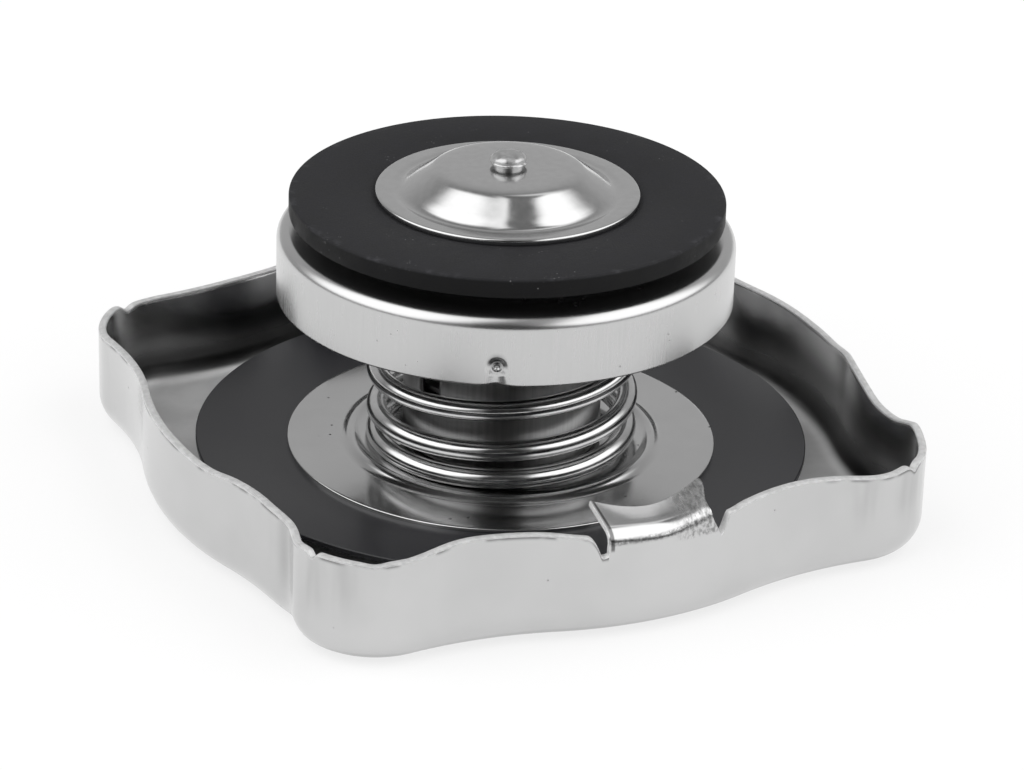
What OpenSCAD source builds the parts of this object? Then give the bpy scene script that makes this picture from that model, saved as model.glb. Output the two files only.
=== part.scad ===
// Pressure cap for a radiator's filler neck, lying on its outer face with the valves up.
// A four-lobed stamped shell carries a swivelling insert: a sealing disc, a guide barrel
// and a sprung pressure valve with a small vacuum valve in its middle.
// Millimetres. The axis is Z, the outer face lies on z = 0, the locking tabs are on -Y and +Y.

/* [Shell] */
// Outside radius of the shell's four round sides
side_r = 35.3; // [34.8:0.1:37]
// Distance from the axis to the centre of each corner lobe's arc
lobe_d = 34.3; // [33.5:0.1:35.5]
// Outside radius of the corner lobes
lobe_r = 8.25; // [7.5:0.25:9.5]
// Radius of the hollow curve that runs from a lobe to a side
blend_r = 37.5; // [30:0.5:50]
// Thickness of the shell's sheet
shell_t = 0.8; // [0.6:0.05:1]
// Height of the shell's wall at the sides
shell_h = 10.7; // [10:0.1:12]
// How far the rim dips at the lobes
lobe_dip = 0.6; // [0:0.1:1]
// Outside radius of the shell's lower edge
edge_r = 3; // [2.5:0.1:3.6]
// Radius of the boss pressed up in the middle of the shell
boss_r = 16; // [13:0.5:18]
// Height of that boss over the shell's floor
boss_h = 2.4; // [1.8:0.1:3]

/* [Locking tabs] */
// Share of a round side that its tab takes up
tab_share = 0.575; // [0.45:0.005:0.65]
// How far below the rim a tab starts to bend inwards
tab_drop = 2; // [1.6:0.1:2.4]
// Outside radius of a tab's bend
tab_bend_r = 2.1; // [1.8:0.1:2.6]
// Angle that a tab's middle is bent through
tab_bend = 86; // [80:1:96]
// How much less a tab's ends are bent than its middle
tab_flare = 24; // [0:1:30]
// How far a tab's tip reaches in from the outside of the wall
tab_reach = 4.5; // [3.6:0.1:5]
// Width of the relief notch beside a tab
notch_w = 1.7; // [1.2:0.1:2]
// How far the relief notch runs below the start of the bend
notch_over = 0.2; // [0.1:0.05:0.5]

/* [Sealing disc and swivel] */
// Outside radius of the dark sealing disc
seal_r = 30; // [28:0.1:31]
// Thickness of the sealing disc
seal_t = 0.5; // [0.4:0.05:0.7]
// How far the sealing disc's rim stands over its clamped middle
seal_rise = 0.75; // [0.4:0.05:1]
// Radius of the spring diaphragm under the sealing disc
diaphragm_r = 27; // [24:0.5:28]
// Thickness of the spring diaphragm
diaphragm_t = 0.3; // [0.2:0.05:0.4]
// Radius of the bright plate that the main spring stands on
plate_r = 21.05; // [19:0.05:22]
// Thickness of that plate
plate_t = 0.4; // [0.3:0.05:0.5]
// Radius to the middle of the bead that centres the spring
bead_r = 14.8; // [14.6:0.1:16]
// Height of the bead
bead_h = 0.5; // [0.3:0.05:0.7]
// Radius of the swivel rivet's shank
rivet_r = 2.6; // [2:0.1:3]
// Radius of the rivet's heads
rivet_head_r = 4.6; // [3.8:0.1:5]
// Thickness of the rivet's heads
rivet_head_h = 1.2; // [0.8:0.1:1.4]

/* [Guide barrel and main spring] */
// Outside radius of the guide barrel
barrel_r = 9.7; // [9.5:0.05:10]
// Thickness of the barrel's sheet
barrel_t = 0.4; // [0.3:0.05:0.45]
// Height of the barrel over the plate
barrel_h = 12.4; // [11.6:0.1:13]
// Height of a window's lower edge over the plate
window_z = 7; // [6.6:0.1:7.4]
// Height of a window
window_h = 3.2; // [2.8:0.1:3.6]
// Width of a window
window_w = 2.6; // [2:0.1:3]
// Angle of the first window, seen from above
window_turn = 198; // [190:1:206]
// Wire diameter of the main spring
wire_d = 2; // [1.8:0.05:2.2]
// Mean radius of the main spring's coils
coil_r = 12.3; // [12.1:0.05:12.5]
// Working turns of the main spring
coil_turns = 5; // [4:0.25:6]
// Angle at which the main spring's wire leaves its foot, seen from above
coil_start = 239; // [225:1:255]

/* [Pressure valve] */
// Height of the pressure gasket's face over the sealing disc's rim
reach = 25.15; // [24.5:0.05:26]
// Outside radius of the valve cup
cup_r = 22.15; // [21.9:0.05:22.5]
// Thickness of the cup's sheet
cup_t = 0.6; // [0.5:0.05:0.7]
// Height of the cup's skirt, from its lower edge to the shoulder
cup_skirt_h = 6.7; // [6.2:0.1:7.2]
// Outside radius of the cup's shoulder
cup_edge_r = 1.2; // [1:0.05:1.5]
// Radius of the platform that lifts the gasket off the shoulder
platform_r = 17; // [16:0.1:18]
// Height of the platform over the shoulder
platform_h = 1.65; // [1.4:0.05:1.9]
// Outside radius of the rubber pressure gasket
gasket_r = 21; // [20:0.05:21.5]
// Thickness of the pressure gasket
gasket_t = 1.85; // [1.6:0.05:2.2]
// Height of the stake dimples over the cup's lower edge
dimple_z = 2.2; // [2:0.1:2.4]
// Radius of the punch that makes a dimple
dimple_r = 0.9; // [0.7:0.05:1]
// Angle of the first dimple, seen from above
dimple_turn = 242.5; // [235:0.5:250]
// Radius of the hub's tube
tube_r = 7.3; // [7.1:0.05:7.4]
// Radius of the hub's lip at the tube's lower end
lip_r = 8.9; // [8.7:0.05:9]
// Radius of the hub's flange, inside the gasket's bore
hub_flange_r = 9; // [8.7:0.05:9.4]
// Thickness of the hub's sheet
hub_t = 0.5; // [0.4:0.05:0.6]

/* [Vacuum valve] */
// Radius of the vacuum valve's disc
vacuum_r = 12.75; // [12:0.05:13.2]
// Thickness of the disc's sheet
vacuum_t = 0.6; // [0.5:0.05:0.7]
// Radius at the foot of the disc's dome
dome_foot_r = 9.9; // [9.4:0.05:10.4]
// Radius of the dome's flat top
dome_top_r = 7.2; // [6.6:0.05:7.6]
// Height of the dome's top over the disc's rim
dome_h = 2.55; // [2.2:0.05:3]
// Radius of the stem
stem_r = 1.3; // [1.1:0.05:1.5]
// Radius of the stem's riveted head
stem_head_r = 1.7; // [1.6:0.05:2]
// Height of the stem's riveted head
stem_head_h = 1.15; // [0.9:0.05:1.4]
// Length of the vacuum spring
vacuum_spring_l = 7.5; // [6:0.1:9]
// Wire diameter of the vacuum spring
vacuum_wire_d = 0.5; // [0.4:0.05:0.6]
// Mean radius of the vacuum spring's coils
vacuum_coil_r = 2.5; // [2.2:0.05:2.8]

/* [Clearances] */
// Gap at the faces on which the shell turns
swivel_gap = 0.05; // [0.03:0.01:0.08]
// Gap round the rivet in the shell
swivel_fit = 0.1; // [0.05:0.01:0.15]
// Gap round pieces that are riveted, pressed or bonded together
seat_fit = 0.05; // [0.03:0.01:0.08]
// Gap between the sliding stem and the hub
stem_fit = 0.15; // [0.1:0.01:0.2]
// Step in the gasket that the vacuum disc's rim sits in
seat_step = 0.1; // [0.05:0.01:0.2]

/* [Hidden] */
$fn = 96;

// The stack from the shell's outer face to the main spring's foot
boss_top = shell_t + boss_h;
diaphragm_z = boss_top + swivel_gap;
seal_z = diaphragm_z + diaphragm_t;
plate_z = seal_z + seal_t;
barrel_z = plate_z + plate_t;
seal_face = plate_z + seal_rise;
// The valve, measured back from the gasket's face
gasket_face = seal_face + reach;
platform_z = gasket_face - gasket_t;
shoulder_z = platform_z - platform_h;
cup_edge_z = shoulder_z - cup_skirt_h;
seat_z = shoulder_z - cup_t;
vacuum_z = gasket_face - seat_step;
dome_z = vacuum_z + vacuum_t + dome_h;
// The tongues in the barrel's windows and the hub's lip that they hold
lip_gap = 0.1;
tongue_top = barrel_z + window_z + window_h;
tongue_tip = barrel_z + window_z + 0.7;
tongue_tip_r = (tube_r + lip_r) / 2 - barrel_t;
lip_top = tongue_tip - lip_gap;
stem_foot = platform_z - vacuum_spring_l;
washer_t = 0.6;
washer_r = vacuum_coil_r + 0.9;
stem_hole_r = stem_r + stem_fit;
rivet_hole_r = rivet_r + seat_fit;
// Each end of a spring is closed: it winds on past the working turns, almost wire on wire
dead_turns = 0.55;
close_pitch = 1.05;
// Turns over which the pitch opens from an end to the middle
open_turns = 1.5;
vacuum_turns = 5;

// Sheet-metal profiles: a rounded path of corners [r, z] and the same path a thickness to its left
function unit(v) = v / norm(v);
function left_of(v) = [-v[1], v[0]];
function cross_of(a, b) = a[0] * b[1] - a[1] * b[0];
function turn_at(p, i) = cross_of(p[i] - p[i - 1], p[i + 1] - p[i]);
function is_end(p, i) = i == 0 || i == len(p) - 1;
function arc_at(p, i, rad, steps) =
    let (back = unit(p[i - 1] - p[i]), on = unit(p[i + 1] - p[i]), half = acos(back * on) / 2,
         centre = p[i] + unit(back + on) * rad / sin(half),
         from = p[i] + back * rad / tan(half) - centre, to = p[i] + on * rad / tan(half) - centre,
         a0 = atan2(from[1], from[0]), sweep = (atan2(to[1], to[0]) - a0 + 540) % 360 - 180)
    [for (k = [0:steps]) centre + rad * [cos(a0 + sweep * k / steps), sin(a0 + sweep * k / steps)]];
function rounded(p, rads, steps = 5) =
    [for (i = [0:len(p) - 1]) each (is_end(p, i) || rads[i] == 0 ? [p[i]] : arc_at(p, i, rads[i], steps))];
function offset_at(p, i, t) =
    let (a = left_of(unit(i > 0 ? p[i] - p[i - 1] : p[1] - p[0])),
         b = left_of(unit(i < len(p) - 1 ? p[i + 1] - p[i] : p[i] - p[i - 1])))
    p[i] + t * (a + b) / (1 + a * b);
function reversed(p) = [for (i = [len(p) - 1:-1:0]) p[i]];
function sheet(p, rads, t) =
    let (other = [for (i = [0:len(p) - 1]) offset_at(p, i, t)],
         other_rads = [for (i = [0:len(p) - 1])
             is_end(p, i) || rads[i] == 0 ? 0 : max(rads[i] - t * sign(turn_at(p, i)), 0.05)])
    concat(rounded(p, rads), reversed(rounded(other, other_rads)));
module revolved(profile) rotate_extrude() polygon(profile);

// Outline of the shell: circle sides, round lobes and hollow blends, as columns
// [x, y, normal x, normal y, rim height]
blend_turn = acos((pow(lobe_d, 2) + pow(side_r + blend_r, 2) - pow(lobe_r + blend_r, 2))
                  / (2 * lobe_d * (side_r + blend_r)));
blend_c = (side_r + blend_r) * [cos(blend_turn), -sin(blend_turn)];
lobe_turn = atan2(-blend_c[1], blend_c[0] - lobe_d);
side_turn = 45 - blend_turn;
tab_turn = side_turn * tab_share;
notch_turn = notch_w / side_r * 180 / PI;
notch_d = tab_drop + notch_over;
dip_turn = 22;
function turned(v, a) = [v[0] * cos(a) - v[1] * sin(a), v[0] * sin(a) + v[1] * cos(a)];
function rim_at(p) =
    let (off = abs((atan2(p[1], p[0]) + 360) % 90 - 45))
    shell_h - (off < dip_turn ? lobe_dip * pow(cos(90 * off / dip_turn), 2) : 0);
function column(p, n, mid, drop = 0) =
    let (q = turned(p, mid), m = turned(n, mid)) [q[0], q[1], m[0], m[1], rim_at(q) - drop];
function side_column(a, mid, drop = 0) = column(side_r * [cos(a), sin(a)], [cos(a), sin(a)], mid, drop);
// Depth of a notch at share f from the tab to its far side, which is half round
function notch_at(f) = notch_d - (f > 0.5 ? notch_w / 2 * (1 - sqrt(1 - pow(2 * f - 1, 2))) : 0);
NOTCH = [0.25, 0.5, 0.7, 0.85, 0.95, 1];
TAB = [-1:0.25:1];
rim_turn = 0.6;
function half_notch(s) = concat([for (f = NOTCH) [s * (tab_turn + f * notch_turn), notch_at(f)]],
                                [[s * (tab_turn + notch_turn + rim_turn), 0]]);
function tab_side() = concat([[-side_turn, 0]], reversed(half_notch(-1)), [for (u = TAB) [u * tab_turn, notch_d]],
                             half_notch(1), [[side_turn, 0]]);
function plain_side() = [for (k = [-3:3]) [side_turn * k / 3, 0]];
function side_columns(mid, tabbed) = [for (s = tabbed ? tab_side() : plain_side()) side_column(s[0], mid, s[1])];
function lobe_columns(mid) = concat(
    [for (k = [1:4]) let (a = 180 - blend_turn + (blend_turn - lobe_turn) * k / 4)
        column(blend_c + blend_r * [cos(a), sin(a)], -[cos(a), sin(a)], mid)],
    [for (k = [1:11]) let (a = -lobe_turn + 2 * lobe_turn * k / 12)
        column([lobe_d, 0] + lobe_r * [cos(a), sin(a)], [cos(a), sin(a)], mid)],
    [for (k = [4:-1:1]) let (a = blend_turn - 180 - (blend_turn - lobe_turn) * k / 4)
        column([blend_c[0], -blend_c[1]] + blend_r * [cos(a), sin(a)], -[cos(a), sin(a)], mid)]);
COLUMNS = [for (q = [0:3]) each concat(side_columns(90 * q, q % 2 == 1), lobe_columns(90 * q + 45))];

// Section of the pan at a column: points [inset, z] up the outside, over the rim and down the inside
EDGE = [0:18:90];
function edge_path(r) = [for (a = EDGE) [edge_r - r * sin(a), edge_r - r * cos(a)]];
function section(rim) = concat(edge_path(edge_r), [[0, rim], [shell_t, rim]], reversed(edge_path(edge_r - shell_t)));
function placed(c) = [for (s = section(c[4])) [c[0] - s[0] * c[2], c[1] - s[0] * c[3], s[1]]];

// Section of a tab at share u of its width, from its root in the wall over the bend to its tip.
// Its cut edges are parallel, so what reaches in past the wall moves along the tab's middle, here +X.
tab_z = shell_h - tab_drop;
tab_sunk = 0.4;
BEND = [0:0.2:1];
function tab_path(inset, bend) =
    let (r = tab_bend_r - inset, flat = (tab_reach - tab_bend_r * (1 - cos(bend))) / sin(bend),
         arc = [for (k = BEND) [tab_bend_r - r * cos(bend * k), tab_z + r * sin(bend * k)]])
    concat([[inset, tab_z - notch_over - tab_sunk]], arc, [arc[len(arc) - 1] + flat * [sin(bend), cos(bend)]]);
function tab_row(u) =
    let (n = [cos(u * tab_turn), sin(u * tab_turn)], bend = tab_bend - tab_flare * u * u)
    [for (s = concat(tab_path(0, bend), reversed(tab_path(shell_t, bend))))
        let (p = (side_r - min(s[0], shell_t)) * n - [max(s[0] - shell_t, 0), 0]) [p[0], p[1], s[1]]];

// A closed skin over rows of points: the rows run round a closed pan, or along a strip with flat ends
module lofted(rows, closed) {
    n = len(rows);
    m = len(rows[0]);
    last = closed ? n - 1 : n - 2;
    ends = closed ? [[for (i = [0:n - 1]) i * m], [for (i = [n - 1:-1:0]) i * m + m - 1]]
                  : [[for (k = [m - 1:-1:0]) k], [for (k = [0:m - 1]) (n - 1) * m + k]];
    strips = [for (i = [0:last], k = [0:closed ? m - 2 : m - 1]) let (j = (i + 1) % n, l = (k + 1) % m)
        each [[i * m + k, i * m + l, j * m + l], [i * m + k, j * m + l, j * m + k]]];
    polyhedron([for (row = rows) each row], concat(strips, ends), convexity = 6);
}

// Drawn and trimmed pan of bright sheet steel, with two tabs bent in to catch the neck's cams
module outer_shell() color([0.8, 0.8, 0.81]) difference() {
    union() {
        lofted([for (c = COLUMNS) placed(c)], true);
        for (a = [90, 270]) rotate([0, 0, a]) lofted([for (u = TAB) tab_row(u)], false);
        revolved([[0, shell_t / 2], [boss_r + boss_h, shell_t / 2], [boss_r + boss_h, shell_t],
                  [boss_r, boss_top], [0, boss_top]]);
    }
    revolved([[0, -1], [boss_r + boss_h - shell_t / 2, -1], [boss_r + boss_h - shell_t / 2, 0],
              [boss_r - shell_t / 2, boss_h], [0, boss_h]]);
    cylinder(r = rivet_r + swivel_fit, h = 2 * boss_top);
}

// Rivet on which the shell turns: a low dome outside, a flat upset head in the barrel
module swivel_rivet() color([0.7, 0.7, 0.72]) {
    head_z = boss_h - swivel_gap;
    upset_z = barrel_z + barrel_t;
    revolved(rounded([[0, head_z - rivet_head_h], [rivet_head_r, head_z - rivet_head_h], [rivet_head_r, head_z],
                      [rivet_r, head_z], [rivet_r, upset_z], [rivet_head_r, upset_z],
                      [rivet_head_r, upset_z + rivet_head_h], [0, upset_z + rivet_head_h]],
                     [0, rivet_head_h * 0.7, 0, 0, 0, 0, rivet_head_h * 0.6, 0]));
}

// Flat spring-steel disc between the shell's boss and the sealing disc
module diaphragm_spring() color([0.55, 0.55, 0.57]) translate([0, 0, diaphragm_z]) difference() {
    cylinder(r = diaphragm_r, h = diaphragm_t);
    translate([0, 0, -1]) cylinder(r = rivet_hole_r, h = diaphragm_t + 2);
}

// Dark faced sealing disc, slightly dished so that its rim meets the neck first
module sealing_disc() color([0.2, 0.2, 0.21]) {
    flat_r = plate_r + 0.3;
    revolved(sheet([[rivet_hole_r, seal_z], [flat_r, seal_z], [seal_r, seal_z + seal_rise]], [0, 3, 0], seal_t));
}

// Bright plate with a pressed bead that centres the spring's last coil
module spring_plate() color([0.78, 0.78, 0.79]) {
    foot = bead_h * 1.2;
    revolved(sheet([[rivet_hole_r, plate_z], [bead_r - bead_h / 2 - foot, plate_z],
                    [bead_r - bead_h / 2, plate_z + bead_h], [bead_r + bead_h / 2, plate_z + bead_h],
                    [bead_r + bead_h / 2 + foot, plate_z], [plate_r, plate_z]],
                   [0, 0.3, 0.1, 0.1, 0.3, 0], plate_t));
}

// Drawn barrel with three lanced windows, whose tongues hold the hub's lip
module guide_barrel() color([0.5, 0.5, 0.52]) {
    turns = [for (k = [0:2]) window_turn + 120 * k];
    difference() {
        revolved(sheet([[rivet_hole_r, barrel_z], [barrel_r, barrel_z], [barrel_r, barrel_z + barrel_h]],
                       [0, 1, 0], barrel_t));
        for (a = turns) rotate([0, 0, a]) translate([barrel_r - 2 * barrel_t, -window_w / 2, barrel_z + window_z])
            cube([3 * barrel_t, window_w, window_h]);
    }
    for (a = turns) rotate([0, 0, a]) rotate([90, 0, 0])
        linear_extrude(height = window_w - 4 * seat_fit, center = true)
            polygon([[barrel_r - 0.05, tongue_top + 0.3], [barrel_r - barrel_t + 0.05, tongue_top + 0.3],
                     [barrel_r - barrel_t + 0.05, tongue_top], [tongue_tip_r, tongue_tip],
                     [tongue_tip_r + barrel_t, tongue_tip], [barrel_r - 0.05, tongue_top]]);
}

// Rise of a coil spring's wire at turn t: close pitch in the dead turns, opening to an even pitch
function coil_rise(t, close, pitch) =
    t < 0 ? close * t :
    t < open_turns ? close * t + (pitch - close) * pow(t, 2) / (2 * open_turns) :
    (close - pitch) * open_turns / 2 + pitch * t;
// The same from the other end in the upper half, with the wire ground flat at both end faces
module coil_spring(mean_r, wire, z0, z1, turns, start, sides, steps) {
    close = wire * close_pitch;
    rise = z1 - z0 - wire;
    pitch = (rise - close * open_turns) / (turns - open_turns);
    count = round((turns + 2 * dead_turns) * steps);
    intersection() {
        lofted([for (i = [0:count])
            let (t = -dead_turns + (turns + 2 * dead_turns) * i / count, a = start + 360 * t,
                 lift = t < turns / 2 ? coil_rise(t, close, pitch) : rise - coil_rise(turns - t, close, pitch))
            [for (k = [0:sides - 1]) let (s = 360 * (k + 0.5) / sides, r = mean_r + wire / 2 * cos(s))
                [r * cos(a), r * sin(a), z0 + wire / 2 + lift + wire / 2 * sin(s)]]], false);
        translate([0, 0, z0]) cylinder(r = mean_r + wire, h = z1 - z0);
    }
}

// Main spring: right-handed, closed and ground at both ends, between the plate and the seat in the cup
module main_spring() color([0.72, 0.72, 0.74])
    coil_spring(coil_r, wire_d, barrel_z, seat_z - cup_t, coil_turns, coil_start, 10, 20);

// Drawn valve cup: skirt, shoulder and raised platform, staked by three dimples
module valve_cup() color([0.75, 0.75, 0.76]) {
    turns = [for (k = [0:2]) dimple_turn + 120 * k];
    hole_r = tube_r + seat_fit;
    dent = 0.45;
    difference() {
        union() {
            revolved(sheet([[cup_r, cup_edge_z], [cup_r, shoulder_z], [platform_r + 0.5, shoulder_z],
                            [platform_r, platform_z], [hole_r, platform_z]],
                           [0, cup_edge_r, 0.35, 0.6, 0], cup_t));
            for (a = turns) rotate([0, 0, a]) translate([cup_r - cup_t / 2, 0, cup_edge_z + dimple_z])
                sphere(r = dimple_r);
        }
        for (a = turns) rotate([0, 0, a]) translate([cup_r + dimple_r - dent, 0, cup_edge_z + dimple_z])
            sphere(r = dimple_r);
    }
}

// Inverted pan inside the cup: the dimples stake its skirt, and the main spring pushes on its floor
module spring_seat() color([0.6, 0.6, 0.62]) {
    skirt_r = cup_r - cup_t - 2 * seat_fit;
    revolved(sheet([[skirt_r, cup_edge_z + dimple_z + dimple_r + seat_fit], [skirt_r, seat_z],
                    [tube_r + 1, seat_z]], [0, 0.8, 0], cup_t));
}

// Black rubber ring that closes on the seat in the filler neck, with a shallow step for the vacuum disc
module pressure_gasket() color([0.12, 0.12, 0.13])
    revolved(rounded([[hub_flange_r + 2 * seat_fit, platform_z], [gasket_r, platform_z], [gasket_r, gasket_face],
                      [vacuum_r + 0.25, gasket_face], [vacuum_r + 0.25, vacuum_z],
                      [hub_flange_r + 2 * seat_fit, vacuum_z]], [0, 0.15, 0.25, 0, 0, 0], 3));

// Flanged eyelet through the cup: a web with vents on top, a tube in the barrel and a lip under the tongues
module valve_hub() color([0.65, 0.62, 0.5]) {
    vent_d = (stem_hole_r + tube_r - hub_t) / 2;
    difference() {
        revolved([[stem_hole_r, platform_z], [tube_r - hub_t, platform_z], [tube_r - hub_t, lip_top - hub_t],
                  [lip_r, lip_top - hub_t], [lip_r, lip_top], [tube_r, lip_top], [tube_r, platform_z],
                  [hub_flange_r, platform_z], [hub_flange_r, platform_z + hub_t],
                  [stem_hole_r, platform_z + hub_t]]);
        for (k = [0:3]) rotate([0, 0, 90 * k]) translate([vent_d, 0, platform_z - 1])
            cylinder(r = 1.1, h = hub_t + 2, $fn = 32);
    }
}

// Weak spring that draws the vacuum disc down on to the gasket
module vacuum_spring() color([0.7, 0.7, 0.72])
    coil_spring(vacuum_coil_r, vacuum_wire_d, stem_foot, platform_z, vacuum_turns, 0, 6, 14);

// Pressed disc with a flat-topped dome, bright, sealing on the gasket
module vacuum_disc() color([0.82, 0.82, 0.83])
    revolved(sheet([[vacuum_r, vacuum_z + vacuum_t], [dome_foot_r, vacuum_z + vacuum_t], [dome_top_r, dome_z],
                    [stem_r + seat_fit, dome_z]], [0, 0.7, 1.1, 0], vacuum_t));

// Stem riveted over the dome, passing through the hub to a washer at its foot
module vacuum_stem() color([0.8, 0.8, 0.8]) {
    foot_h = 0.7;
    foot_r = stem_r + 0.5;
    revolved(rounded([[0, stem_foot - washer_t - foot_h], [foot_r, stem_foot - washer_t - foot_h],
                      [foot_r, stem_foot - washer_t], [stem_r, stem_foot - washer_t], [stem_r, dome_z],
                      [stem_head_r, dome_z], [stem_head_r, dome_z + stem_head_h], [0, dome_z + stem_head_h]],
                     [0, 0.3, 0, 0, 0, 0, 0.3, 0], 3));
}

// Washer that the vacuum spring pushes against
module stem_washer() color([0.68, 0.68, 0.7]) translate([0, 0, stem_foot - washer_t]) difference() {
    cylinder(r = washer_r, h = washer_t);
    translate([0, 0, -1]) cylinder(r = stem_r + seat_fit, h = washer_t + 2);
}

outer_shell();
swivel_rivet();
diaphragm_spring();
sealing_disc();
spring_plate();
guide_barrel();
main_spring();
valve_cup();
spring_seat();
pressure_gasket();
valve_hub();
vacuum_spring();
vacuum_disc();
vacuum_stem();
stem_washer();
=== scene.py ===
import math
from collections import namedtuple

import bpy
from mathutils import Matrix, Vector, noise


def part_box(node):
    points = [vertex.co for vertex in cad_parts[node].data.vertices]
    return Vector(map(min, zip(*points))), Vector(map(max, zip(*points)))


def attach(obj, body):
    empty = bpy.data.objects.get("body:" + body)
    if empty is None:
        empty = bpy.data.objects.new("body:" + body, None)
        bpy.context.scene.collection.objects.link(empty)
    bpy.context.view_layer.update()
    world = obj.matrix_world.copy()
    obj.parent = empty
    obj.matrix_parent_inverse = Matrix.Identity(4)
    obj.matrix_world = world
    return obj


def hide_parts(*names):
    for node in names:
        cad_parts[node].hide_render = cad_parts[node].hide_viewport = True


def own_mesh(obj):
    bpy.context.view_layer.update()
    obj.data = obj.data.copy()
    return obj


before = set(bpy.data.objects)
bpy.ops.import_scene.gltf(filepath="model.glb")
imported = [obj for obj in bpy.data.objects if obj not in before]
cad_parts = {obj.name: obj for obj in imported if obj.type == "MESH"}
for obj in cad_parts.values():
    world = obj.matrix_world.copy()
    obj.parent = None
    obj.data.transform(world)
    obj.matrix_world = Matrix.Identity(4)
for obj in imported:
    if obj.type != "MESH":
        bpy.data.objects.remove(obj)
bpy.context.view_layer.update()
scene = bpy.context.scene
scene.view_settings.view_transform = "Standard"
MM = 0.001


# Camera: a long lens a little above the cap, turned to look past one lobe at the locking tab.
# Its place was worked out from the valve's circles and the shell's outline in the photo.
CAMERA_PLACE = Vector((-156.75, -319.28, 174.15)) * MM
CAMERA_TURN = math.radians(-26.305)
CAMERA_PITCH = -0.432995
CAMERA_ROLL = 0.030462
FOCAL_PIXELS = 3995.0
IMAGE_WIDTH = 1024

sight = Vector((-math.sin(CAMERA_TURN) * math.cos(CAMERA_PITCH),
                math.cos(CAMERA_TURN) * math.cos(CAMERA_PITCH),
                math.sin(CAMERA_PITCH)))
level = sight.cross(Vector((0, 0, 1))).normalized()
upright = level.cross(sight)
across = math.cos(CAMERA_ROLL) * level + math.sin(CAMERA_ROLL) * upright
over = -math.sin(CAMERA_ROLL) * level + math.cos(CAMERA_ROLL) * upright
lens = bpy.data.cameras.new("photo_lens")
lens.sensor_width = 36
lens.lens = FOCAL_PIXELS * lens.sensor_width / IMAGE_WIDTH
lens.clip_start = 0.01
camera = bpy.data.objects.new("photo_camera", lens)
camera.matrix_world = Matrix.Translation(CAMERA_PLACE) @ Matrix((across, over, -sight)).transposed().to_4x4()
scene.collection.objects.link(camera)
scene.camera = camera


# Studio: a white sweep and a soft tent of light, with two bright boxes to the left and right of the camera
# and a dark gap between them, which gives the bright metal its dark middle line.
class Wire:
    """A socket of a node tree: arithmetic on it adds Math nodes, and add() makes any other node."""

    def __init__(self, tree, socket=None):
        self.tree = tree
        self.socket = socket

    def add(self, kind, settings=None, sockets=None, out=0):
        node = self.tree.nodes.new(kind)
        for name, value in (settings or {}).items():
            setattr(node, name, value)
        for name, value in (sockets or {}).items():
            if isinstance(value, Wire):
                self.tree.links.new(value.socket, node.inputs[name])
            else:
                node.inputs[name].default_value = value
        return Wire(self.tree, node.outputs[out] if node.outputs else None)

    def math(self, operation, *values):
        return self.add("ShaderNodeMath", {"operation": operation}, dict(enumerate(values)))

    def __add__(self, other):
        return self.math("ADD", self, other)

    def __sub__(self, other):
        return self.math("SUBTRACT", self, other)

    def __rsub__(self, other):
        return self.math("SUBTRACT", other, self)

    def __mul__(self, other):
        return self.math("MULTIPLY", self, other)

    def __truediv__(self, other):
        return self.math("DIVIDE", self, other)

    __radd__ = __add__
    __rmul__ = __mul__

    def step(self, low, high, start=0.0, end=1.0):
        """A smooth change from start to end as this value goes from low to high."""
        return self.add("ShaderNodeMapRange", {"interpolation_type": "SMOOTHSTEP"},
                        {0: self, 1: low, 2: high, 3: start, 4: end})


def seen_or_mirrored(wire):
    """One for what the camera sees itself or in bright metal, and nothing for the light it sends on."""
    rays = [wire.add("ShaderNodeLightPath", out=name)
            for name in ("Is Camera Ray", "Is Glossy Ray", "Is Transmission Ray")]
    return wire.math("MINIMUM", rays[0] + rays[1] + rays[2], 1.0)


world = bpy.data.worlds.new("studio_tent")
scene.world = world
world.use_nodes = True
world.node_tree.nodes.clear()
tent = Wire(world.node_tree)
direction = tent.add("ShaderNodeTexCoord", out="Generated")
TENT_LEVEL, BACKDROP_LEVEL, BOX_LEVEL, GAP_DEPTH = 0.31, 0.34, 1.95, 0.88
LEFT_BOX, RIGHT_BOX, BOX_SOFT = (-74, 42, 38), (82, 48, 47), 8


def along(axis):
    return tent.add("ShaderNodeVectorMath", {"operation": "DOT_PRODUCT"}, {0: direction, 1: axis},
                    out="Value")


def light_box(turn, rise, half):
    """A round bright patch with a soft edge: degrees right of the camera, above the floor and across half."""
    flat = math.cos(math.radians(rise))
    axis = (to_camera * math.cos(math.radians(turn)) + level * math.sin(math.radians(turn))) * flat
    axis.z = math.sin(math.radians(rise))
    return along(axis).step(math.cos(math.radians(half + BOX_SOFT)), math.cos(math.radians(half - BOX_SOFT)))


to_camera = Vector((-sight.x, -sight.y, 0)).normalized()
towards = along(to_camera)
sideways = along(level)
height = along((0, 0, 1))
gap_half = tent.math("SQRT", 1 - height * height) * 0.24 + 0.11
off_gap = tent.math("ABSOLUTE", sideways - height.step(0.5, 0.95, 0.05, 0.125))
gap = (off_gap / gap_half).step(0.78, 1.22, 1.0, 0.0) * towards.step(-0.48, -0.25)
boxes = light_box(*LEFT_BOX) + light_box(*RIGHT_BOX)
boxes = boxes * height.step(0.10, 0.30) * towards.step(-0.60, -0.30)
backdrop = towards.step(-0.95, -0.30, BACKDROP_LEVEL, 0.0)
tent_level = (TENT_LEVEL + backdrop + boxes * BOX_LEVEL) * (1 - gap * GAP_DEPTH)
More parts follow.
